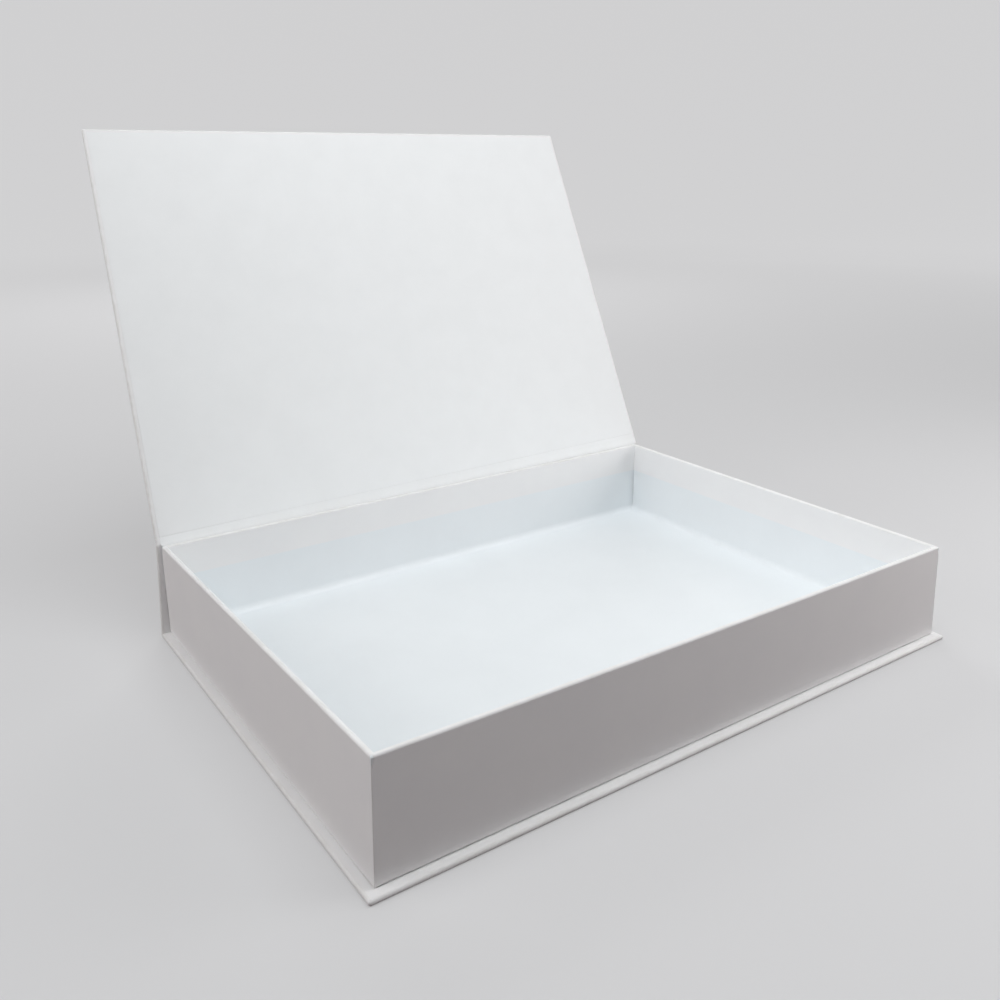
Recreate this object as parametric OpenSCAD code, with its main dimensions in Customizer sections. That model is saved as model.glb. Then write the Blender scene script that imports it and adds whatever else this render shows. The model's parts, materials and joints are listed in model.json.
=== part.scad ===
// Clamshell book box for A4 papers: a folded board tray on a hard three-panel case.
// Millimetres. X runs left to right, Y from front to back and Z up.
// The origin is the centre of the underside of the base.
// The lid is built shut and then swung open about the hinge line.

/* [Tray] */
// Outside width of the tray, left to right
tray_w = 308; // [160:1:450]
// Outside depth of the tray, front to back
tray_d = 219; // [120:0.5:330]
// Outside height of the tray, from the base to the rim
tray_h = 46; // [25:0.1:90]
// Thickness of the board that the tray is folded from
tray_board_t = 2; // [2:0.1:4]
// Depth of the cover paper turned in over the rim
rim_turn_in = 17; // [8:0.5:20]
// Radius along the outside edges and the rim of the covered tray
tray_edge_r = 1; // [0.6:0.1:1.1]
// Radius of the fold inside, between the floor and the walls
fold_r = 1; // [0.5:0.1:3]
// Width of the open seam between two walls in each corner
seam_w = 0.4; // [0.2:0.1:1]

/* [Corner stays] */
// Length of a corner stay along each wall
stay_w = 12; // [6:1:25]
// Distance from a corner stay to the rim and to the bottom edge
stay_margin = 3; // [2:0.5:6]
// Thickness of the paper of a corner stay
stay_t = 0.12; // [0.08:0.01:0.2]

/* [Case] */
// Thickness of the lid, spine and base boards
case_board_t = 2; // [1.6:0.1:4]
// How far the lid and the base stand out past the tray
overhang = 4; // [1:0.1:6]
// Width of the cover paper turned in round the boards
case_turn_in = 15; // [10:0.5:20]
// Radius along the covered edges of the boards
case_edge_r = 0.6; // [0.3:0.1:0.9]
// Gap between the base board and the spine board at the lower fold
crease_gap = 0.8; // [0.4:0.1:2]
// Distance from the edges of the case to the edges of the liner
liner_inset = 2; // [0.5:0.1:6]
// How far the liner runs down the inside of the spine
liner_tail = 22; // [8:0.5:22]

/* [Paper] */
// Thickness of the cover paper and of the liner
paper_t = 0.15; // [0.1:0.01:0.25]

/* [Hinge] */
// Angle that the lid is opened from shut
lid_open = 115.1; // [70:0.1:185]
// Gap between the shut lid and the rim
lid_gap = 0.3; // [0.2:0.1:1]
// Height of the hinge line above the rim
hinge_rise = 0.85; // [0.6:0.05:1.2]
// How far the spine board stops below the rim
spine_drop = 0.5; // [0.2:0.1:2]
// How far the shut lid's rear edge stops in front of the tray's rear face
lid_setback = 1; // [1:0.1:3]
// Gap between the hinge papers and the papers of the lid
hinge_gap = 0.3; // [0.2:0.1:0.6]

/* [Hidden] */

// Round arcs, and the steps along a bent hinge paper
$fn = 48;
bend_steps = 8;
// Length by which a cutting tool passes the face that it cuts
cut = 1;

// A covered panel: paper outside, board, turned-in paper, and a liner where there is one
base_t = paper_t + case_board_t + paper_t;
panel_t = base_t + paper_t;
case_w = tray_w + 2 * overhang;
case_d = overhang + tray_d + panel_t;
front_y = -case_d / 2;
rear_y = case_d / 2;

// The tray stands on the base, against the liner of the spine
tray_y0 = front_y + overhang;
tray_y1 = tray_y0 + tray_d;
tray_z0 = base_t;
rim_z = tray_z0 + tray_h;
wall_t = paper_t + tray_board_t;
floor_z = tray_z0 + wall_t;

// The spine rises behind the tray, and stops below the rim
spine_top = rim_z - spine_drop;
spine_board_y = tray_y1 + 2 * paper_t;

// The hinge line runs along X, in the middle of the spine's thickness
hinge_y = tray_y1 + panel_t / 2;
hinge_z = rim_z + hinge_rise;

// The shut lid lies just above the rim
lid_z = rim_z + lid_gap;
lid_y1 = tray_y1 - lid_setback;
lid_d = lid_y1 - front_y;

// A flat rectangle with round corners, its lower left corner at the origin
module round_rect(w, h, r) {
    difference() {
        square([w, h]);
        for (x = [0, 1], y = [0, 1])
            translate([x * w, y * h])
                mirror([x, 0])
                    mirror([0, y])
                        difference() {
                            translate([-cut, -cut])
                                square(r + cut);
                            translate([r, r])
                                circle(r);
                        }
    }
}

// A slab with every edge rounded: three rounded bars that share one box
module soft_slab(size, r) {
    intersection() {
        linear_extrude(size[2])
            round_rect(size[0], size[1], r);
        translate([0, size[1], 0])
            rotate([90, 0, 0])
                linear_extrude(size[1])
                    round_rect(size[0], size[2], r);
        rotate([90, 0, 90])
            linear_extrude(size[0])
                round_rect(size[1], size[2], r);
    }
}

// The outside of the tray, a given depth under its cover paper
module tray_form(depth) {
    size = [tray_w - 2 * depth, tray_d - 2 * depth, tray_h - 2 * depth];
    translate([-size[0] / 2, tray_y0 + depth, tray_z0 + depth])
        soft_slab(size, tray_edge_r - depth);
}

// Outline of the hollow across one direction: rounded at the floor, flared over the rim
module hollow_outline(w, h, rim_r) {
    difference() {
        translate([-w / 2, 0])
            square([w, h + cut]);
        for (s = [0, 1])
            mirror([s, 0])
                translate([-w / 2, 0])
                    difference() {
                        translate([-cut, -cut])
                            square(fold_r + cut);
                        translate([fold_r, fold_r])
                            circle(fold_r);
                    }
    }
    for (s = [0, 1])
        mirror([s, 0])
            translate([-w / 2 - rim_r, h - rim_r])
                difference() {
                    square([rim_r + cut, rim_r + cut]);
                    circle(rim_r);
                    translate([rim_r, 0])
                        square([2 * cut, rim_r + 2 * cut]);
                }
}

// The hollow of the tray, with its walls a given distance inside the outside faces
module tray_hollow(inset, rim_r, top_z) {
    h = top_z - floor_z;
    intersection() {
        translate([0, tray_y1, floor_z])
            rotate([90, 0, 0])
                linear_extrude(tray_d)
                    hollow_outline(tray_w - 2 * inset, h, rim_r);
        translate([-tray_w / 2, (tray_y0 + tray_y1) / 2, floor_z])
            rotate([90, 0, 90])
                linear_extrude(tray_w)
                    hollow_outline(tray_d - 2 * inset, h, rim_r);
    }
}

// Everything that the folded board takes up, before its seams are cut
module tray_board_body() {
    difference() {
        tray_form(paper_t);
        tray_hollow(wall_t, tray_edge_r - paper_t, rim_z - paper_t);
    }
}

// A strip of tape round one upright corner, pressed into the board: sx and sy choose the corner
module corner_stay(sx, sy) {
    color("tan")
        difference() {
            intersection() {
                tray_form(paper_t);
                translate([0, (tray_y0 + tray_y1) / 2, 0])
                    mirror([sx < 0 ? 1 : 0, 0, 0])
                        mirror([0, sy < 0 ? 1 : 0, 0])
                            translate([tray_w / 2 - stay_w, tray_d / 2 - stay_w, tray_z0 + stay_margin])
                                cube([stay_w + cut, stay_w + cut, tray_h - 2 * stay_margin]);
            }
            tray_form(paper_t + stay_t);
        }
}

// The tray, scored and folded from one piece: the side walls stand between the front and rear walls
module tray_board() {
    color("whitesmoke")
        difference() {
            tray_board_body();
            for (sx = [-1, 1], sy = [-1, 1]) {
                corner_stay(sx, sy);
                translate([
                    sx < 0 ? -tray_w / 2 - cut : tray_w / 2 - wall_t - fold_r,
                    sy < 0 ? tray_y0 + wall_t : tray_y1 - wall_t - seam_w,
                    floor_z + fold_r
                ])
                    cube([wall_t + fold_r + cut, seam_w, tray_h]);
            }
        }
}

// The tray's cover paper: under the floor, up the walls, over the rim and down inside
module tray_wrap() {
    color("white")
        difference() {
            tray_form(0);
            tray_board_body();
            tray_hollow(wall_t + paper_t, tray_edge_r, rim_z);
            intersection() {
                tray_hollow(wall_t, tray_edge_r - paper_t, rim_z - paper_t);
                translate([-tray_w / 2, tray_y0, 0])
                    cube([tray_w, tray_d, rim_z - rim_turn_in]);
            }
        }
}

// A board with its edges eased: x is centred, y0 and z0 are its low sides
module board(w, y0, d, z0, t) {
    translate([-w / 2, y0, z0])
        soft_slab([w, d, t], case_edge_r - paper_t);
}

// The board under the tray
module base_board() {
    color("silver")
        board(case_w - 2 * paper_t, front_y + paper_t,
            spine_board_y - crease_gap - front_y - paper_t, paper_t, case_board_t);
}

// The board behind the tray, cut square at the hinge
module spine_board() {
    color("silver")
        intersection() {
            board(case_w - 2 * paper_t, spine_board_y, case_board_t, paper_t, spine_top);
            below_spine_top();
        }
}

// All the space below the top of the spine
module below_spine_top() {
    translate([-case_w, front_y - cut, -cut])
        cube([2 * case_w, case_d + 2 * cut, spine_top + cut]);
}

// Space above the turned-in paper of a panel: a window inside the turn-ins
module turn_in_window(y0, d, z0, t) {
    translate([-case_w / 2 + case_turn_in, y0, z0])
        cube([case_w - 2 * case_turn_in, d, t]);
}

// The cover paper of the base: underside, three edges and turn-ins, as far as the lower fold
module base_wrap() {
    color("white")
        difference() {
            translate([-case_w / 2, front_y, 0])
                soft_slab([case_w, case_d, base_t], case_edge_r);
            base_board();
            // The crease in front of the spine, and the room that the spine takes
            translate([-case_w / 2 + paper_t, spine_board_y - crease_gap - case_edge_r, paper_t])
                cube([case_w - 2 * paper_t, crease_gap + 2 * case_edge_r, case_board_t]);
            translate([-case_w, tray_y1 + paper_t, paper_t])
                cube([2 * case_w, case_d, base_t]);
            turn_in_window(front_y + case_turn_in, case_d, base_t - paper_t, 2 * paper_t);
        }
}

// The cover paper of the spine: its rear face, two ends and turn-ins, up to the hinge
module spine_wrap() {
    color("white")
        difference() {
            intersection() {
                translate([-case_w / 2, tray_y1 + paper_t, 0])
                    soft_slab([case_w, panel_t - paper_t, spine_top + base_t], case_edge_r);
                below_spine_top();
                translate([-case_w, 0, paper_t])
                    cube([2 * case_w, case_d, spine_top]);
            }
            board(case_w - 2 * paper_t, spine_board_y, case_board_t, paper_t, spine_top + base_t);
            turn_in_window(tray_y1, 2 * paper_t, -cut, spine_top + 2 * cut);
        }
}

// The tail of the liner, between the spine and the tray
module spine_liner() {
    color("white")
        translate([-case_w / 2 + liner_inset, tray_y1, spine_top - liner_tail])
            cube([case_w - 2 * liner_inset, paper_t, liner_tail]);
}

// A point of the shut lid, in Y and Z, after the lid has been opened
function opened(y, z) = [
    hinge_y + (y - hinge_y) * cos(lid_open) + (z - hinge_z) * sin(lid_open),
    hinge_z - (y - hinge_y) * sin(lid_open) + (z - hinge_z) * cos(lid_open)
];

// A point at share t along a curve that leaves a upwards and reaches b along the lid
function bend(a, b, t) =
    let (
        reach = norm(b - a) / 3,
        along = [-cos(lid_open), sin(lid_open)],
        c = a + [0, reach],
        d = b - reach * along
    )
    pow(1 - t, 3) * a + 3 * t * pow(1 - t, 2) * c + 3 * t * t * (1 - t) * d + pow(t, 3) * b;

// A bent sheet between the top of the spine and the rear edge of the lid.
// spine_y and lid_face are the sheet's two faces at the spine and on the shut lid.
module bent_sheet(spine_y, lid_face, w) {
    steps = [for (i = [0:bend_steps]) i / bend_steps];
    side = [for (k = [0, 1]) [for (t = steps)
        bend([spine_y[k], spine_top], opened(lid_y1 + hinge_gap, lid_face[k]), t)]];
    translate([-w / 2, 0, 0])
        rotate([90, 0, 90])
            linear_extrude(w)
                polygon(concat(side[0], [for (i = [bend_steps:-1:0]) side[1][i]]));
}

// The cover paper across the hinge, behind the gap between the boards
module hinge_wrap() {
    color("white")
        bent_sheet([rear_y, rear_y - paper_t],
            [lid_z + panel_t, lid_z + panel_t - paper_t], case_w);
}

// The liner across the hinge, in front of the gap between the boards
module hinge_liner() {
    color("white")
        bent_sheet([tray_y1 + paper_t, tray_y1],
            [lid_z + paper_t, lid_z], case_w - 2 * liner_inset);
}

// Swings what belongs to the lid open about the hinge line
module swung() {
    translate([0, hinge_y, hinge_z])
        rotate([-lid_open, 0, 0])
            translate([0, -hinge_y, -hinge_z])
                children();
}

// The board of the lid, with a square rear edge
module shut_lid_board() {
    intersection() {
        board(case_w - 2 * paper_t, front_y + paper_t, case_d, lid_z + 2 * paper_t, case_board_t);
        in_front_of_lid_edge();
    }
}

// All the space in front of the shut lid's rear edge
module in_front_of_lid_edge() {
    translate([-case_w, front_y - cut, 0])
        cube([2 * case_w, lid_d + cut, 2 * lid_z]);
}

module lid_board() {
    color("silver")
        swung()
            shut_lid_board();
}

// The cover paper of the lid: top, three edges and turn-ins
module lid_wrap() {
    color("white")
        swung()
            difference() {
                intersection() {
                    translate([-case_w / 2, front_y, lid_z + paper_t])
                        soft_slab([case_w, case_d, base_t], case_edge_r);
                    in_front_of_lid_edge();
                }
                shut_lid_board();
                turn_in_window(front_y + case_turn_in, case_d, lid_z, 2 * paper_t);
            }
}

// The liner inside the lid, over the turn-ins
module lid_liner() {
    color("white")
        swung()
            translate([-case_w / 2 + liner_inset, front_y + liner_inset, lid_z])
                cube([case_w - 2 * liner_inset, lid_d - liner_inset, paper_t]);
}

tray_board();
tray_wrap();
corner_stay(-1, -1);  // corner_stay_front_left
corner_stay(1, -1);  // corner_stay_front_right
corner_stay(-1, 1);  // corner_stay_rear_left
corner_stay(1, 1);  // corner_stay_rear_right
base_board();
base_wrap();
spine_board();
spine_wrap();
spine_liner();
hinge_wrap();
hinge_liner();
lid_board();
lid_wrap();
lid_liner();
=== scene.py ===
# %% [markdown]
# # A book-style paper box, dressed for its photograph
# A tray folded from one sheet of board lies in a hard case of three boards, as a book block
# lies in its cover. One sheet of paper covers the case, another wraps the tray, and a third
# lines the lid. This lesson models those papers and boards in Blender round a fixed frame that
# the CAD model gives, and finishes them as paper and board. Every length is in metres, in the
# frame's own axes: X runs along the hinge, Y goes from the front to the spine and Z is up.

# %% Load the frame and measure it
import json
import math

import bmesh
import bpy
from mathutils import Matrix, Vector


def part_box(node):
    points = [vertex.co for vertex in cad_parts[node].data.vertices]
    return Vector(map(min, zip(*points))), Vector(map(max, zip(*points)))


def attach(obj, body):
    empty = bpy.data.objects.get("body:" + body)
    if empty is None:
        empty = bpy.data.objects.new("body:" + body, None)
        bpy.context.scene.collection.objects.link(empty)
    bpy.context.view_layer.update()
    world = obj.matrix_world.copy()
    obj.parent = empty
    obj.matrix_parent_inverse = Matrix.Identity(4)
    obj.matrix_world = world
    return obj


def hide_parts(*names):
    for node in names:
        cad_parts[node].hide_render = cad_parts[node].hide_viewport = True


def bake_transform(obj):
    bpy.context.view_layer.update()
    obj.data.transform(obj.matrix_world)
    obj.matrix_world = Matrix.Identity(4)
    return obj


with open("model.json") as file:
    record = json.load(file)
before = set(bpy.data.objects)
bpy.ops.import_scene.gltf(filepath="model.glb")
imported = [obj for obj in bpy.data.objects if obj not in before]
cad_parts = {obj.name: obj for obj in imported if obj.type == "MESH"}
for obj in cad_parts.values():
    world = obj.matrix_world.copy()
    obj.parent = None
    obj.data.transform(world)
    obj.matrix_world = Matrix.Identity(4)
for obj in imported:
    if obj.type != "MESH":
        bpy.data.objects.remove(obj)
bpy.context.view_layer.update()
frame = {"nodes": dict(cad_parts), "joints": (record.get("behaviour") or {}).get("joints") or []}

MM = 0.001
X_AXIS = Vector((1, 0, 0))
Y_AXIS = Vector((0, 1, 0))
Z_AXIS = Vector((0, 0, 1))

# %% [markdown]
# ## The camera
# The box was photographed from its front left corner, a little above the rim of the tray. The
# place, the direction and the focal length were found by fitting the straight edges of the
# real box. The picture's optical centre sits above its middle, so the frame is shifted down
# instead of tilting the camera, which keeps the upright edges as they are in the picture.

# %% Place the camera
PICTURE_SIDE = 1000
FOCAL_PIXELS = 998.01
OPTICAL_CENTRE = (496.14, 330.33)
CAMERA_PLACE = Vector((-282.866, -368.489, 232.742)) * MM
LOOK_AZIMUTH = math.radians(34.357)
LOOK_DOWN = math.radians(9.496)
ROLL = math.radians(0.324)

SENSOR_WIDTH = 36
NEAREST_SEEN = 10 * MM

camera_data = bpy.data.cameras.new("photo_camera")
camera_data.sensor_width = SENSOR_WIDTH
camera_data.lens = SENSOR_WIDTH * FOCAL_PIXELS / PICTURE_SIDE
camera_data.shift_x = 0.5 - OPTICAL_CENTRE[0] / PICTURE_SIDE
camera_data.shift_y = OPTICAL_CENTRE[1] / PICTURE_SIDE - 0.5
camera_data.clip_start = NEAREST_SEEN
camera = bpy.data.objects.new("photo_camera", camera_data)
bpy.context.scene.collection.objects.link(camera)

looking = Vector((
    math.sin(LOOK_AZIMUTH) * math.cos(LOOK_DOWN),
    math.cos(LOOK_AZIMUTH) * math.cos(LOOK_DOWN),
    -math.sin(LOOK_DOWN),
))
level = looking.to_track_quat("-Z", "Y").to_matrix()
camera.matrix_world = (
    Matrix.Translation(CAMERA_PLACE)
    @ Matrix.Rotation(ROLL, 4, looking)
    @ level.to_4x4()
)
bpy.context.scene.camera = camera
print("lens in mm:", round(camera_data.lens, 2))

# %% [markdown]
# ## Where each piece goes
# The frame knows the box of every solid at rest. The lid leans back at rest, so its pieces are
# easier to model shut, lying flat over the tray, and are then swung open about the hinge line
# by the angle that the hinge itself gives.

# %% Read the sizes of the tray, the case and the hinge
tray_low, tray_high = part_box("tray_wrap")
base_low, base_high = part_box("base_wrap")
base_board_low, base_board_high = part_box("base_board")
spine_low, spine_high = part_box("spine_wrap")
hinge = frame["joints"][0]
hinge_place = Vector(hinge["pos_m"])
swing = Matrix.Translation(hinge_place) @ Matrix.Rotation(
    math.radians(-hinge["range_deg"][0]), 4, Vector(hinge["axis"])
) @ Matrix.Translation(-hinge_place)


def shut_box(node):
    """The box of a node of the lid when the lid is shut."""
    shut = swing.inverted()
    corners = [shut @ v.co for v in frame["nodes"][node].data.vertices]
    low = Vector([min(c[k] for c in corners) for k in range(3)])
    high = Vector([max(c[k] for c in corners) for k in range(3)])
    return low, high


lid_low, lid_high = shut_box("lid_wrap")
lid_board_low, lid_board_high = shut_box("lid_board")
liner_low, liner_high = shut_box("lid_liner")
print("lid opened by", round(-hinge["range_deg"][0], 1), "degrees")

# %% [markdown]
# ## Thickness of the papers and boards
# These few values are shared by all the pieces: the thickness of paper and board, the radius
# of the covered edges, and how far the papers are turned in.

# %% Name the thicknesses, edges and turn-ins
PAPER = 0.15 * MM
TRAY_BOARD = 2.0 * MM
TRAY_EDGE = 1.0 * MM
CASE_EDGE = 1.1 * MM
RIM_TURN_IN = 17 * MM
CASE_TURN_IN = 15 * MM
WALL = PAPER + TRAY_BOARD
print("wall of the covered tray in mm:", round(WALL / MM, 2))

# %% [markdown]
# ## Small tools for the bench
# Each paper is a box that is bevelled, cut open and given its thickness, so the same few moves
# come back: a block of a given box, a cut across some faces, a fine line pressed into paper,
# and a finished object. They are kept as short functions.

# %% Make the bench tools
EDGE_STEPS = 5
ALIKE = 0.999
TOUCHING = 1e-7


def block(low, high):
    """A new mesh with one block in it, from corner to corner."""
    bm = bmesh.new()
    bmesh.ops.create_cube(bm, size=1)
    bmesh.ops.scale(bm, vec=high - low, verts=bm.verts)
    bmesh.ops.translate(bm, vec=(low + high) / 2, verts=bm.verts)
    return bm


def whole(faces):
    """The faces with all their edges and corners, each once and always in the same order, as
    the cutting operators want them."""
    edges = dict.fromkeys(e for f in faces for e in f.edges)
    verts = dict.fromkeys(v for f in faces for v in f.verts)
    return [*verts, *edges, *faces]


def facing(bm, direction):
    """The faces that look along a direction."""
    return [f for f in bm.faces if f.normal.dot(direction) > ALIKE]


def cut(bm, faces, place, normal, remove_outer=False):
    """Cuts faces along a plane, and removes what lies past it where that is asked."""
    return bmesh.ops.bisect_plane(
        bm, geom=whole(faces), dist=TOUCHING, plane_co=place, plane_no=normal,
        clear_outer=remove_outer,
    )


def bevel_edges(bm, edges, radius, steps=EDGE_STEPS):
    """Rounds edges with an arc."""
    return bmesh.ops.bevel(
        bm, geom=edges, offset=radius, segments=steps, affect="EDGES",
        profile=0.5, material=-1,
    )


print("bench tools for blocks, an arc in", EDGE_STEPS, "steps")

# %% Press a fine line
RISE_AND_DROP = (-0.5, 1)


def press_line(bm, faces, place, along, into, step):
    """Presses a fine line into faces: there the paper drops by a step, from half of it above the
    old face to half below."""
    for lift in RISE_AND_DROP:
        made = cut(bm, faces, place, along)
        faces = [f for f in made["geom"] if isinstance(f, bmesh.types.BMFace)]
        line = [v for v in made["geom_cut"] if isinstance(v, bmesh.types.BMVert)]
        bmesh.ops.translate(bm, vec=into * lift * step, verts=line)
        place = place + step * along


print("line tool: rise and drop in steps", RISE_AND_DROP)

# %% Finish a piece
SHARP_ANGLE = math.radians(40)
THIN_FACE = 0.6 * MM


def finished(bm, name, body=None, replaced=(), thickness=0):
    """Turns the mesh into an object that rides on a body and stands for nodes of the frame.
    A sheet gets its thickness inwards, and flat faces keep flat shading beside round edges.
    The thin faces of the edges are marked, because hands rub them."""
    bm.normal_update()
    edge_mark = bm.faces.layers.float.new("edge")
    for face in bm.faces:
        face[edge_mark] = min(e.calc_length() for e in face.edges) < THIN_FACE
    mesh = bpy.data.meshes.new(name)
    bm.to_mesh(mesh)
    bm.free()
    mesh.shade_smooth()
    mesh.set_sharp_from_angle(angle=SHARP_ANGLE)
    piece = bpy.data.objects.new(name, mesh)
    bpy.context.scene.collection.objects.link(piece)
    if thickness:
        solidify = piece.modifiers.new("thickness", "SOLIDIFY")
        solidify.thickness = thickness
        solidify.offset = -1
        solidify.use_even_offset = True
    shading = piece.modifiers.new("flat_faces_stay_flat", "WEIGHTED_NORMAL")
    shading.keep_sharp = True
    if body:
        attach(piece, body)
    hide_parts(*replaced)
    print(name, len(mesh.polygons), "faces")
    return piece


print("edges sharper than", round(math.degrees(SHARP_ANGLE)), "degrees stay sharp")

# %% [markdown]
# ## Rings round a box
# A tray is a stack of rings: each ring is a rectangle with round corners, at its own distance
# inside the outside faces and at its own height. Rings are joined to their neighbours by
# faces. A ring can carry a notch in each corner, which makes the open seam between two walls.
# Folded walls are never quite true, so a last move lets the corners of the rim drift by up to
# two millimetres, the front wall belly out a little and its foot lift off the base by a hair.

# %% Draw one ring
CORNER_STEPS = 5
SIDE_STEPS = 12


def corner_arc(centre, radius, quarter):
    """Points on a quarter circle. Quarter 0 runs from +X to +Y."""
    turns = [math.pi / 2 * (quarter + i / CORNER_STEPS) for i in range(CORNER_STEPS + 1)]
    return [centre + radius * Vector((math.cos(a), math.sin(a), 0)) for a in turns]


def corner_seam(corner, side, depth, width):
    """As many points as an arc has, round a notch that goes into the side wall."""
    out_x = X_AXIS * side[0] * depth
    in_y = -Y_AXIS * side[1] * width
    return [corner + in_y * 2, corner + in_y, corner + in_y + out_x, corner + out_x,
            corner, corner - X_AXIS * side[0] * width]


def ring(low, high, inset, z, radius, seam=None):
    """Points round a rectangle at height z. They start at the front end of the right wall."""
    x = high.x - inset
    y = (low.y + inset, high.y - inset)
    corners = []
    for quarter, side in enumerate(((1, 1), (-1, 1), (-1, -1), (1, -1))):
        place = Vector((side[0] * x, y[1] if side[1] > 0 else y[0], z))
        if seam:
            points = corner_seam(place, side, *seam)
            corners.append(points if quarter % 2 == 0 else points[::-1])
        else:
            inside = Vector((side[0], side[1], 0)) * radius
            corners.append(corner_arc(place - inside, radius, quarter))
    points = []
    for i, arc in enumerate(corners):
        before = corners[i - 1][-1]
        points += [before.lerp(arc[0], k / SIDE_STEPS) for k in range(1, SIDE_STEPS)] + arc
    return points


print("points in a ring:", 4 * (CORNER_STEPS + SIDE_STEPS))


# %% Stack rings into a tray
def stack(rings, bottom=True, top=True, closed=True):
    """A mesh of rings joined to each other, with a face over the first and the last if asked.
    Rings that aren't closed make a sheet."""
    bm = bmesh.new()
    rows = [[bm.verts.new(p) for p in points] for points in rings]
    for row, following in zip(rows, rows[1:]):
        for k in range(0 if closed else 1, len(row)):
            bm.faces.new((row[k - 1], row[k], following[k], following[k - 1]))
    if bottom:
        bm.faces.new(rows[0][::-1])
    if top:
        bm.faces.new(rows[-1])
    return bm


def quarter_turn(inset, z, radius, start, steps=EDGE_STEPS):
    """Insets and heights along a quarter circle round (inset, z), from the angle start."""
    turns = [math.radians(start) - math.pi / 2 * i / steps for i in range(steps + 1)]
    return [(inset + radius * math.cos(a), z + radius * math.sin(a)) for a in turns]


print("steps of a quarter circle:", EDGE_STEPS)

# %% Let the walls settle
WALL_BELLY = 1.0 * MM
FOOT_LIFT = 0.35 * MM
FRONT_REACH = 10 * MM
RIM_DRIFT = {
    (-1, -1): Vector((0.5, 1.0, 0.1)) * MM,
    (1, -1): Vector((0.3, -0.8, -0.3)) * MM,
    (-1, 1): Vector((-1.9, 0, -0.25)) * MM,
    (1, 1): Vector((1.4, -0.5, 0.15)) * MM,
}


def settle(bm):
    """Lets the corners of the rim drift, the front wall belly out and its foot lift a little."""
    half = (tray_high - tray_low) / 2
    middle = (tray_high + tray_low) / 2
    for v in bm.verts:
        x = (v.co.x - middle.x) / half.x
        y = (v.co.y - middle.y) / half.y
        up = max(0, (v.co.z - tray_low.z) / (2 * half.z))
        drift = Vector()
        for side, way in RIM_DRIFT.items():
            drift += way * (1 + side[0] * x) * (1 + side[1] * y) / 4
        near_front = max(0, 1 - (v.co.y - tray_low.y) / FRONT_REACH)
        drift -= Y_AXIS * WALL_BELLY * min(1, 2 * near_front) * (1 - x * x) * up
        v.co += drift * up + FOOT_LIFT * near_front * max(0, 1 - up) * Z_AXIS


print("largest drift in mm:", round(max(way.length for way in RIM_DRIFT.values()) / MM, 2))

# %% [markdown]
# ## The board tray
# A white-lined board is scored and folded up into four walls. Inside, the floor meets the
# walls in a soft fold, and each corner keeps an open seam, because the side walls only stand
# between the front and rear walls. The rings run up the outside, over the rim, down the inside
# with the seams, and round the fold to the floor. Outside, under the cover paper, a strip of
# gummed tape holds each corner.

# %% Fold the board tray
FLOOR_FOLD = 3.0 * MM
FOOT_EDGE = 0.7 * MM
UPRIGHT_EDGE = 0.3 * MM
SEAM = (1.6 * MM, 0.4 * MM)
HAIR = 0.02 * MM

paper_all_round = Vector((PAPER, PAPER, PAPER))
board_low = tray_low + paper_all_round
board_high = tray_high - paper_all_round
tray_floor_z = board_low.z + TRAY_BOARD
rim_radius = TRAY_EDGE - PAPER

profile = quarter_turn(FOOT_EDGE, board_low.z + FOOT_EDGE, FOOT_EDGE, 270)
profile += quarter_turn(rim_radius, board_high.z - rim_radius, rim_radius, 180)
profile += quarter_turn(TRAY_BOARD - rim_radius, board_high.z - rim_radius, rim_radius, 90)
rings = [ring(board_low, board_high, d, z, max(UPRIGHT_EDGE - d, HAIR)) for d, z in profile]
seam_top = board_high.z - 2 * TRAY_EDGE
seam_foot = tray_floor_z + FLOOR_FOLD
seam_heights = (
    (seam_top, None), (seam_top - HAIR, SEAM),
    (seam_foot + HAIR, SEAM), (seam_foot, None),
)
for z, seam in seam_heights:
    rings.append(ring(board_low, board_high, TRAY_BOARD, z, UPRIGHT_EDGE / 2, seam))
fold = quarter_turn(TRAY_BOARD + FLOOR_FOLD, seam_foot, FLOOR_FOLD, 180)
for d, z in [(d, 2 * seam_foot - z) for d, z in fold[1:]]:
    rings.append(ring(board_low, board_high, d, z, UPRIGHT_EDGE / 2 + d - TRAY_BOARD))
blank = stack(rings)
settle(blank)
board_tray = finished(blank, "board_tray", "box", ["tray_board"])

# %% Tape its corners
MERGE_WITHIN = 1e-6

corner_tapes = []
for name in [n for n in frame["nodes"] if n.startswith("corner_stay")]:
    tape = bmesh.new()
    tape.from_mesh(frame["nodes"][name].data)
    bmesh.ops.remove_doubles(tape, verts=tape.verts[:], dist=MERGE_WITHIN)
    settle(tape)
    tape_name = name.replace("stay", "tape")
    corner_tapes.append(finished(tape, tape_name, "box", [name]))

# %% [markdown]
# ## The tray's cover paper
# One sheet wraps the tray: under the floor, up the walls, over the rim and 17 mm down inside.
# It is a stack of rings again, open at the lower end of the turn-in. The sheet gets its
# thickness inwards, which also draws the step where the paper ends inside the tray. At the
# rim the upright edges are rounder than further down, where the paper is drawn tight.

# %% Wrap the tray
RIM_CORNER = 1.8 * MM
RIM_DEPTH = 5 * TRAY_EDGE

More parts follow.
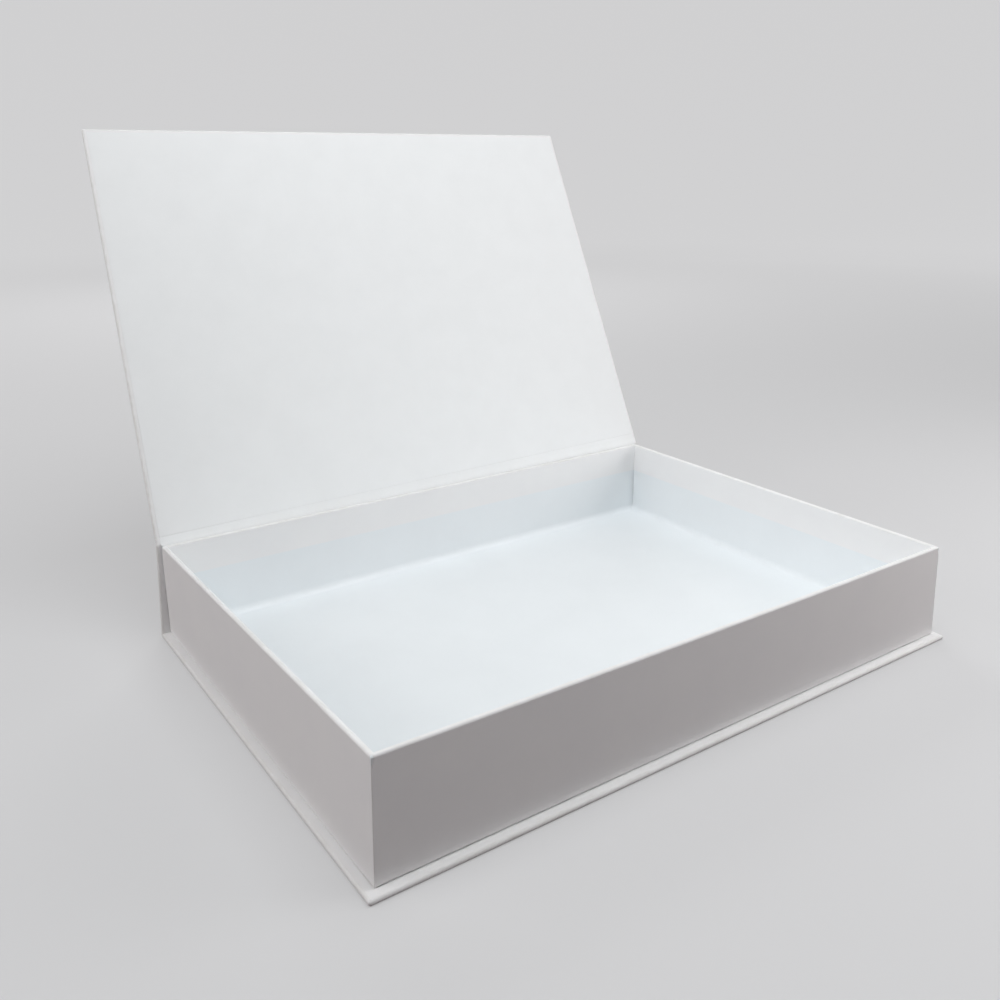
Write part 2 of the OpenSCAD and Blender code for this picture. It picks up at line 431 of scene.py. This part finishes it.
foot = quarter_turn(FOOT_EDGE, tray_low.z + FOOT_EDGE, FOOT_EDGE, 270)
rings = [ring(tray_low, tray_high, d, z, max(UPRIGHT_EDGE - d, HAIR)) for d, z in foot]
rings.append(ring(tray_low, tray_high, 0, tray_high.z - RIM_DEPTH, UPRIGHT_EDGE))
rim = quarter_turn(TRAY_EDGE, tray_high.z - TRAY_EDGE, TRAY_EDGE, 180)
rim += quarter_turn(WALL + PAPER - TRAY_EDGE, tray_high.z - TRAY_EDGE, TRAY_EDGE, 90)
for d, z in rim:
    rings.append(ring(tray_low, tray_high, d, z, max(RIM_CORNER - d, UPRIGHT_EDGE / 2)))
for depth in (RIM_DEPTH, RIM_TURN_IN):
    rings.append(ring(tray_low, tray_high, WALL + PAPER, tray_high.z - depth, UPRIGHT_EDGE / 2))
wrap = stack(rings, top=False)
settle(wrap)
tray_cover = finished(wrap, "tray_cover", "box", ["tray_wrap"], PAPER)

# %% [markdown]
# ## The case
# Base, spine and lid are grey boards in one sheet of cover paper. On each board the paper runs
# over the outer face, turns round the edges and is glued down 15 mm on the inner face. Each
# panel is a rounded block: it is cut open where the next fold begins, and a window is cut in
# its inner face, inside the turned-in strips. The base's paper runs on under the round lower
# edge of the spine, so the fold stays closed. The boards are blocks that fit inside, and
# their edges are crushed as round as the covered edges look.


# %% Cut and open a covered panel
def covered_panel(low, high, fold_axis, inner_direction, window_low, window_high):
    """A rounded block without its fold end, and with a window in its inner face.
    The fold end is the high side along fold_axis."""
    past_the_round_end = fold_axis * 3 * CASE_EDGE
    bm = block(low, high + past_the_round_end)
    bevel_edges(bm, bm.edges[:], CASE_EDGE)
    cut(bm, bm.faces[:], high, fold_axis, remove_outer=True)
    inner = max(facing(bm, inner_direction), key=lambda f: f.calc_area())
    faces = [inner]
    for place, normal in (
        (window_low, X_AXIS), (window_high, X_AXIS),
        (window_low, fold_axis), (window_high, fold_axis),
    ):
        made = cut(bm, faces, place, normal)["geom"]
        faces = [f for f in made if isinstance(f, bmesh.types.BMFace)]
    hole = [
        f for f in faces
        if all(window_low.dot(a) < f.calc_center_median().dot(a) < window_high.dot(a)
               for a in (X_AXIS, fold_axis))
    ]
    bmesh.ops.delete(bm, geom=hole, context="FACES")
    return bm


print("covered edges rounded by", round(CASE_EDGE / MM, 2), "mm")

# %% Cover the three boards
FAR = 1
turn_x = base_high.x - CASE_TURN_IN
fold_y = spine_low.y + CASE_EDGE
base = covered_panel(
    base_low, Vector((base_high.x, fold_y, base_board_high.z + PAPER)), Y_AXIS, Z_AXIS,
    Vector((-turn_x, base_low.y + CASE_TURN_IN, 0)), Vector((turn_x, FAR, 0)),
)
base_cover = finished(base, "base_cover", "box", ["base_wrap"], PAPER)

spine = covered_panel(
    Vector((spine_low.x, spine_low.y, 0)), spine_high, Z_AXIS, -Y_AXIS,
    Vector((-turn_x, 0, -FAR)), Vector((turn_x, 0, FAR)),
)
spine_cover = finished(spine, "spine_cover", "box", ["spine_wrap"], PAPER)

lid = covered_panel(
    lid_low, lid_high, Y_AXIS, -Z_AXIS,
    Vector((-turn_x, lid_low.y + CASE_TURN_IN, 0)), Vector((turn_x, FAR, 0)),
)
bmesh.ops.transform(lid, matrix=swing, verts=lid.verts)
lid_cover = finished(lid, "lid_cover", "lid", ["lid_wrap"], PAPER)

# %% Cut the three boards
spine_board_low, spine_board_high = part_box("spine_board")
boards = []
for name, low, high, body in (
    ("base_core", base_board_low, base_board_high, "box"),
    ("spine_core", spine_board_low, spine_board_high, "box"),
    ("lid_core", lid_board_low, lid_board_high, "lid"),
):
    core = block(low, high)
    bevel_edges(core, core.edges[:], CASE_EDGE - PAPER)
    if body == "lid":
        bmesh.ops.transform(core, matrix=swing, verts=core.verts)
    boards.append(finished(core, name, body, [name.replace("core", "board")]))

# %% [markdown]
# ## The liner
# A second, plain sheet lines the lid. It stops 2 mm short of the lid's edges, crosses the
# hinge and is glued 22 mm down the inside of the spine. It is a thin slab with its edges just
# eased. Beside the hinge a fine line is pressed into it, a little askew, where it was rubbed
# down over the edge of the board.

# %% Line the lid and the spine
LINER_EDGE = 0.05 * MM
LINE_STEP = 0.15 * MM
LINE_LEFT = 0.7 * MM
LINE_RIGHT = 3.6 * MM

lining = block(liner_low, liner_high)
bevel_edges(lining, lining.edges[:], LINER_EDGE, steps=2)
line_start = Vector((liner_low.x, liner_high.y - LINE_LEFT, 0))
line_end = Vector((liner_high.x, liner_high.y - LINE_RIGHT, 0))
to_the_fold = Z_AXIS.cross(line_end - line_start).normalized()
press_line(lining, facing(lining, -Z_AXIS), line_start, to_the_fold, Z_AXIS, LINE_STEP)
bmesh.ops.transform(lining, matrix=swing, verts=lining.verts)
lid_lining = finished(lining, "lid_lining", "lid", ["lid_liner"])

tail_low, tail_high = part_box("spine_liner")
tail = block(tail_low, tail_high)
bevel_edges(tail, tail.edges[:], LINER_EDGE, steps=2)
spine_lining = finished(tail, "spine_lining", "box", ["spine_liner"])

# %% [markdown]
# ## The paper hinge
# Between the spine and the lid there is no board: the papers alone bend there. Each starts as
# a line that leaves the spine upwards and arrives along the lid. The cover paper is a band: it
# runs round both ends and turns in behind the liner, a little narrower where no board holds it
# out. The liner is a sheet that swells over the rim of the tray at its left end. Both are
# made once, in their shape at rest, and are parented to neither body.

# %% Draw the bend
BEND_STEPS = 16
up_the_lid = swing.to_3x3() @ -Y_AXIS


def bend_points(spine_y, lid_z):
    """Points from the top of the spine to the rear edge of the lid, which is at lid_z when shut."""
    start = Vector((0, spine_y, spine_high.z))
    end = swing @ Vector((0, lid_high.y, lid_z))
    reach = (end - start).length / 3
    knots = (start, start + reach * Z_AXIS, end - reach * up_the_lid, end)
    points = []
    for i in range(BEND_STEPS + 1):
        t = i / BEND_STEPS
        weights = ((1 - t) ** 3, 3 * t * (1 - t) ** 2, 3 * t * t * (1 - t), t ** 3)
        points.append(sum((w * knot for w, knot in zip(weights, knots)), Vector()))
    return points


def hinge_piece(bm, name, node):
    """A sheet that bends between the spine and the lid."""
    piece = finished(bm, name, None, [node], PAPER)
    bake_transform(piece)
    return piece


print("steps along the bend:", BEND_STEPS)

# %% Bend the cover paper
WAIST = 0.3 * MM

half_width = lid_high.x
thickness = lid_high.z - lid_low.z
round_edge = quarter_turn(CASE_EDGE, CASE_EDGE, CASE_EDGE, 270)
turned_in = [(half_width - CASE_TURN_IN, 0)]
turned_in += [(half_width - d, z / thickness) for d, z in round_edge]
right_end = turned_in + [(x, 1 - share) for x, share in turned_in[::-1]]
around = right_end + [(-x, share) for x, share in right_end[::-1]]
outer_bend = bend_points(spine_high.y, lid_high.z)
inner_bend = bend_points(spine_low.y, lid_low.z)
rows = []
for i, (outside, inside) in enumerate(zip(outer_bend, inner_bend)):
    narrower = 1 - WAIST / half_width * math.sin(math.pi * i / BEND_STEPS) ** 2
    rows.append([inside.lerp(outside, share) + x * narrower * X_AXIS for x, share in around])
band = stack(rows, bottom=False, top=False, closed=False)
hinge_cover = hinge_piece(band, "hinge_cover", "hinge_wrap")

# %% Bend the liner
STRIP_STEPS = 24
BULGE = 0.45 * MM
BULGE_HEIGHT = 1.0 * MM

bend = bend_points(tail_low.y, liner_low.z)
rows = []
travelled = 0
for i, place in enumerate(bend):
    travelled += (place - bend[i - 1]).length if i else 0
    tangent = (bend[min(i + 1, BEND_STEPS)] - bend[max(i - 1, 0)]).normalized()
    row = []
    for k in range(STRIP_STEPS + 1):
        share = k / STRIP_STEPS
        proud = BULGE * (1 - share) * math.exp(-(travelled / BULGE_HEIGHT) ** 2)
        across = (2 * share - 1) * liner_high.x * X_AXIS
        row.append(place + across + proud * X_AXIS.cross(tangent))
    rows.append(row)
strip = stack(rows, bottom=False, top=False, closed=False)
hinge_lining = hinge_piece(strip, "hinge_lining", "hinge_liner")

# %% [markdown]
# ## Paper and board
# Papers and boards are made of the same stuff, fibre, so they share two node groups. One
# gives the grain: a cloudy shade from fibres that lie unevenly, and a fine tooth for the bump.
# The other gives wear: hands rub the marked edges in patches. Each material then places them
# with its own colours and scales, and keeps its Principled shader to itself. A Mix node has
# sockets for numbers, vectors and colours under the same names, so those for colours are
# picked by their numbers.

# %% Make the node tools
MIX_FACTOR, MIX_FIRST, MIX_SECOND, MIXED = 0, 6, 7, 2


def new_group(name, inputs, outputs):
    """A shader node group with number sockets: inputs with their first values, and outputs."""
    group = bpy.data.node_groups.new(name, "ShaderNodeTree")
    for label, value in inputs.items():
        made = group.interface.new_socket(label, in_out="INPUT", socket_type="NodeSocketFloat")
        made.default_value = value
    for label in outputs:
        group.interface.new_socket(label, in_out="OUTPUT", socket_type="NodeSocketFloat")
    return group, group.nodes.new("NodeGroupInput"), group.nodes.new("NodeGroupOutput")


def add_node(tree, kind, **settings):
    """A node with its settings and its unlinked inputs set by name."""
    node = tree.nodes.new(kind)
    for key, value in settings.items():
        if hasattr(node, key):
            setattr(node, key, value)
        else:
            node.inputs[key.replace("_", " ").title()].default_value = value
    return node


def set_range(node, **limits):
    """Sets limits of a Map Range node, such as from_min, by name."""
    for key, value in limits.items():
        node.inputs[key.replace("_", " ").title()].default_value = value


print("colour sockets of a mix:", MIX_FIRST, MIX_SECOND, "and", MIXED)

# %% Build the shared paper grain
CLOUD_LIMITS = (0.35, 0.65)


def paper_grain_group():
    """Cloudy fibre shade from -1 to 1, and a fine tooth from 0 to 1, both on Object coordinates."""
    group, enter, leave = new_group(
        "paper_grain", {"Cloud Scale": 60, "Tooth Scale": 2500}, ["Cloud", "Tooth"],
    )
    place = group.nodes.new("ShaderNodeTexCoord")
    cloud = add_node(group, "ShaderNodeTexNoise", Detail=4.0, Roughness=0.6)
    tooth = add_node(group, "ShaderNodeTexNoise", Detail=3.0, Roughness=0.65)
    spread = group.nodes.new("ShaderNodeMapRange")
    set_range(spread, from_min=CLOUD_LIMITS[0], from_max=CLOUD_LIMITS[1], to_min=-1)
    for noise, scale in ((cloud, "Cloud Scale"), (tooth, "Tooth Scale")):
        group.links.new(place.outputs["Object"], noise.inputs["Vector"])
        group.links.new(enter.outputs[scale], noise.inputs["Scale"])
    group.links.new(cloud.outputs["Fac"], spread.inputs["Value"])
    group.links.new(spread.outputs["Result"], leave.inputs["Cloud"])
    group.links.new(tooth.outputs["Fac"], leave.inputs["Tooth"])
    return group


grain_group = paper_grain_group()
print("group:", grain_group.name)

# %% Build the shared edge wear
WORN_LIMITS = (0.4, 0.6)


def edge_rub_group():
    """A patchy mask from 0 to 1 on the faces that are marked as edges."""
    group, enter, leave = new_group("edge_rub", {"Patch Scale": 120, "Strength": 1}, ["Rub"])
    place = group.nodes.new("ShaderNodeTexCoord")
    mark = group.nodes.new("ShaderNodeAttribute")
    mark.attribute_name = "edge"
    patches = add_node(group, "ShaderNodeTexNoise", Detail=3.0, Roughness=0.6)
    worn = group.nodes.new("ShaderNodeMapRange")
    set_range(worn, from_min=WORN_LIMITS[0], from_max=WORN_LIMITS[1])
    masked = add_node(group, "ShaderNodeMath", operation="MULTIPLY")
    strong = add_node(group, "ShaderNodeMath", operation="MULTIPLY")
    group.links.new(place.outputs["Object"], patches.inputs["Vector"])
    group.links.new(enter.outputs["Patch Scale"], patches.inputs["Scale"])
    group.links.new(patches.outputs["Fac"], worn.inputs["Value"])
    group.links.new(worn.outputs["Result"], masked.inputs[0])
    group.links.new(mark.outputs["Fac"], masked.inputs[1])
    group.links.new(masked.outputs["Value"], strong.inputs[0])
    group.links.new(enter.outputs["Strength"], strong.inputs[1])
    group.links.new(strong.outputs["Value"], leave.inputs["Rub"])
    return group


rub_group = edge_rub_group()
print("group:", rub_group.name)

# %% Mix a paper
PAPER_SHEEN = 0.25
ROUGHNESS_SPREAD = 0.05


def paper_material(name, light, dark, rubbed, roughness, cloud_scale, tooth_scale, tooth_depth):
    """A paper: its colour drifts between two close shades and turns to a third where its edges
    are rubbed, and its tooth is a fine bump."""
    material = bpy.data.materials.new(name)
    material.use_nodes = True
    tree = material.node_tree
    shader = tree.nodes["Principled BSDF"]
    shader.inputs["Specular IOR Level"].default_value = PAPER_SHEEN
    grain = tree.nodes.new("ShaderNodeGroup")
    grain.node_tree = grain_group
    grain.inputs["Cloud Scale"].default_value = cloud_scale
    grain.inputs["Tooth Scale"].default_value = tooth_scale
    half = tree.nodes.new("ShaderNodeMapRange")
    set_range(half, from_min=-1)
    tree.links.new(grain.outputs["Cloud"], half.inputs["Value"])
    mix = tree.nodes.new("ShaderNodeMix")
    mix.data_type = "RGBA"
    mix.inputs[MIX_FIRST].default_value = (*dark, 1)
    mix.inputs[MIX_SECOND].default_value = (*light, 1)
    tree.links.new(half.outputs["Result"], mix.inputs[MIX_FACTOR])
    rub = tree.nodes.new("ShaderNodeGroup")
    rub.node_tree = rub_group
    wear = tree.nodes.new("ShaderNodeMix")
    wear.data_type = "RGBA"
    wear.inputs[MIX_SECOND].default_value = (*rubbed, 1)
    tree.links.new(rub.outputs["Rub"], wear.inputs[MIX_FACTOR])
    tree.links.new(mix.outputs[MIXED], wear.inputs[MIX_FIRST])
    tree.links.new(wear.outputs[MIXED], shader.inputs["Base Color"])
    bump = tree.nodes.new("ShaderNodeBump")
    bump.inputs["Distance"].default_value = tooth_depth
    tree.links.new(grain.outputs["Tooth"], bump.inputs["Height"])
    tree.links.new(bump.outputs["Normal"], shader.inputs["Normal"])
    rough = tree.nodes.new("ShaderNodeMapRange")
    set_range(rough, to_min=roughness - ROUGHNESS_SPREAD, to_max=roughness + ROUGHNESS_SPREAD)
    tree.links.new(grain.outputs["Tooth"], rough.inputs["Value"])
    tree.links.new(rough.outputs["Result"], shader.inputs["Roughness"])
    return material


def dress(piece, material):
    """Gives a piece one material."""
    piece.data.materials.clear()
    piece.data.materials.append(material)


print("sheen of all papers:", PAPER_SHEEN)

# %% Dress each piece in its paper or board
cover_paper = paper_material(
    "cover_paper", light=(0.885, 0.885, 0.885), dark=(0.87, 0.87, 0.875),
    rubbed=(0.84, 0.84, 0.83), roughness=0.6,
    cloud_scale=40, tooth_scale=3000, tooth_depth=0.02 * MM,
)
liner_paper = paper_material(
    "liner_paper", light=(0.885, 0.90, 0.905), dark=(0.87, 0.885, 0.89),
    rubbed=(0.875, 0.888, 0.89), roughness=0.6,
    cloud_scale=50, tooth_scale=3500, tooth_depth=0.03 * MM,
)
white_lined_board = paper_material(
    "white_lined_board", light=(0.85, 0.885, 0.905), dark=(0.835, 0.87, 0.89),
    rubbed=(0.81, 0.84, 0.85), roughness=0.65,
    cloud_scale=30, tooth_scale=2500, tooth_depth=0.03 * MM,
)
greyboard = paper_material(
    "greyboard", light=(0.34, 0.32, 0.29), dark=(0.22, 0.21, 0.19),
    rubbed=(0.28, 0.26, 0.24), roughness=0.9,
    cloud_scale=400, tooth_scale=2000, tooth_depth=0.08 * MM,
)
stay_tape = paper_material(
    "stay_tape", light=(0.50, 0.33, 0.19), dark=(0.42, 0.26, 0.14),
    rubbed=(0.45, 0.30, 0.17), roughness=0.75,
    cloud_scale=150, tooth_scale=2500, tooth_depth=0.03 * MM,
)

for piece in (tray_cover, base_cover, spine_cover, lid_cover, hinge_cover):
    dress(piece, cover_paper)
for piece in (lid_lining, spine_lining, hinge_lining):
    dress(piece, liner_paper)
dress(board_tray, white_lined_board)
for tape in corner_tapes:
    dress(tape, stay_tape)
for board in boards:
    dress(board, greyboard)
print("materials:", [m.name for m in bpy.data.materials])

# %% [markdown]
# ## Floor, backdrop and light
# The box stands in a pale round cove: a floor whose rim curves up into a wall, so no horizon
# line crosses the picture. The camera and reflections see it paler than the box does: it glows
# a little for them, more with distance, and throws only a dim light back on the walls of the
# box, so these stay darker than the rim. From below it is clear, so the underside can be seen.

# %% Shape the cove
COVE_FLOOR = 2.0
COVE_CURVE = 0.8
COVE_WALL = 1.6
CURVE_STEPS = 12
COVE_SEGMENTS = 64

cove = bmesh.new()
profile = [Vector((0, 0, 0)), Vector((COVE_FLOOR, 0, 0))]
for i in range(1, CURVE_STEPS + 1):
    turn = math.pi / 2 * i / CURVE_STEPS
    profile.append(Vector((
        COVE_FLOOR + COVE_CURVE * math.sin(turn), 0, COVE_CURVE * (1 - math.cos(turn)),
    )))
profile.append(Vector((COVE_FLOOR + COVE_CURVE, 0, COVE_CURVE + COVE_WALL)))
chain = [cove.verts.new(p) for p in profile]
lines = [cove.edges.new(pair) for pair in zip(chain, chain[1:])]
bmesh.ops.spin(
    cove, geom=chain + lines, cent=(0, 0, 0), axis=(0, 0, 1), angle=2 * math.pi,
    steps=COVE_SEGMENTS, use_merge=True,
)
bmesh.ops.remove_doubles(cove, verts=cove.verts[:], dist=MERGE_WITHIN)
bmesh.ops.recalc_face_normals(cove, faces=cove.faces[:])
if sum(f.normal.z * f.calc_area() for f in cove.faces) < 0:
    bmesh.ops.reverse_faces(cove, faces=cove.faces[:])
cove.normal_update()
cove_mesh = bpy.data.meshes.new("cove")
cove.to_mesh(cove_mesh)
cove.free()
cove_mesh.shade_smooth()
cove_piece = bpy.data.objects.new("cove", cove_mesh)
bpy.context.scene.collection.objects.link(cove_piece)
print("cove", len(cove_mesh.polygons), "faces")

# %% Give the cove its glow
COVE_ROUGHNESS = 0.9
COVE_TO_THE_BOX = (0.20, 0.17, 0.175, 1)
COVE_TO_THE_CAMERA = (0.30, 0.30, 0.305, 1)
GLOW_COLOUR = (0.99, 0.99, 1, 1)
GLOW_NEAR, GLOW_FAR = 0.34, 0.60
NEAR_DISTANCE, FAR_DISTANCE = 0.3, 2.2

cove_material = bpy.data.materials.new("cove")
cove_material.use_nodes = True
tree = cove_material.node_tree
shader = tree.nodes["Principled BSDF"]
shader.inputs["Roughness"].default_value = COVE_ROUGHNESS
path = tree.nodes.new("ShaderNodeLightPath")
seen = tree.nodes.new("ShaderNodeMath")
seen.operation = "MAXIMUM"
tree.links.new(path.outputs["Is Camera Ray"], seen.inputs[0])
tree.links.new(path.outputs["Is Glossy Ray"], seen.inputs[1])
tint = tree.nodes.new("ShaderNodeMix")
tint.data_type = "RGBA"
tint.inputs[MIX_FIRST].default_value = COVE_TO_THE_BOX
tint.inputs[MIX_SECOND].default_value = COVE_TO_THE_CAMERA
tree.links.new(seen.outputs["Value"], tint.inputs[MIX_FACTOR])
tree.links.new(tint.outputs[MIXED], shader.inputs["Base Color"])
place = tree.nodes.new("ShaderNodeTexCoord")
away = tree.nodes.new("ShaderNodeVectorMath")
away.operation = "LENGTH"
rise = tree.nodes.new("ShaderNodeMapRange")
set_range(rise, from_min=NEAR_DISTANCE, from_max=FAR_DISTANCE, to_min=GLOW_NEAR, to_max=GLOW_FAR)
tree.links.new(place.outputs["Object"], away.inputs[0])
tree.links.new(away.outputs["Value"], rise.inputs["Value"])
glow = tree.nodes.new("ShaderNodeMath")
glow.operation = "MULTIPLY"
tree.links.new(rise.outputs["Result"], glow.inputs[1])
tree.links.new(seen.outputs["Value"], glow.inputs[0])
tree.links.new(glow.outputs["Value"], shader.inputs["Emission Strength"])
shader.inputs["Emission Color"].default_value = GLOW_COLOUR
back = tree.nodes.new("ShaderNodeNewGeometry")
clear = tree.nodes.new("ShaderNodeBsdfTransparent")
one_way = tree.nodes.new("ShaderNodeMixShader")
tree.links.new(back.outputs["Backfacing"], one_way.inputs[0])
tree.links.new(shader.outputs["BSDF"], one_way.inputs[1])
tree.links.new(clear.outputs["BSDF"], one_way.inputs[2])
tree.links.new(one_way.outputs["Shader"], tree.nodes["Material Output"].inputs["Surface"])
dress(cove_piece, cove_material)
print("the cove glows from", GLOW_NEAR, "to", GLOW_FAR)

# %% [markdown]
# ## The lamps
# One softbox hangs right over the tray. It lights the lid and the inside, but hardly reaches
# the walls outside, so they stand out against the bright rim. Two wide lamps on the left light
# the side wall, and a small one near the right end of the front lets that wall grow brighter
# towards the right. A lamp behind lights the back of the lid.

# %% Hang the lamps
BOX_MIDDLE = Vector((0, 0, 0.08))


def softbox(name, place, side, power, colour=(1, 1, 1)):
    """A square lamp that is turned to the middle of the box."""
    data = bpy.data.lights.new(name, "AREA")
    data.shape = "SQUARE"
    data.size = side
    data.energy = power
    data.color = colour
    lamp = bpy.data.objects.new(name, data)
    bpy.context.scene.collection.objects.link(lamp)
    lamp.location = place
    lamp.rotation_euler = (Vector(place) - BOX_MIDDLE).to_track_quat("Z", "Y").to_euler()
    lamp.visible_camera = False
    print(name, power, "W")


COOL = (0.965, 0.99, 1)
WARM = (1, 0.975, 0.97)
softbox("softbox_over_tray", (0, -0.12, 0.68), 0.5, 2.6, COOL)
softbox("softbox_left", (-1.15, -0.1, 0.68), 1.0, 3.7, WARM)
softbox("softbox_rear_left", (-1.15, 0.5, 0.65), 0.8, 4.2, WARM)
softbox("softbox_front_right", (0.5, -0.35, 0.27), 0.4, 1.8, WARM)
softbox("softbox_behind", (0.5, 1.3, 0.9), 0.8, 7)

# %% Fill the room with a little light
ROOM_FILL = 0.12
ROOM_SEEN = 0.9
world = bpy.data.worlds.new("room")
bpy.context.scene.world = world
world.use_nodes = True
tree = world.node_tree
background = tree.nodes["Background"]
path = tree.nodes.new("ShaderNodeLightPath")
fill = tree.nodes.new("ShaderNodeMapRange")
set_range(fill, to_min=ROOM_FILL, to_max=ROOM_SEEN)
tree.links.new(path.outputs["Is Camera Ray"], fill.inputs["Value"])
tree.links.new(fill.outputs["Result"], background.inputs["Strength"])
background.inputs["Color"].default_value = (1, 1, 1, 1)
bpy.context.scene.view_settings.view_transform = "Standard"
print("room fill", ROOM_FILL)
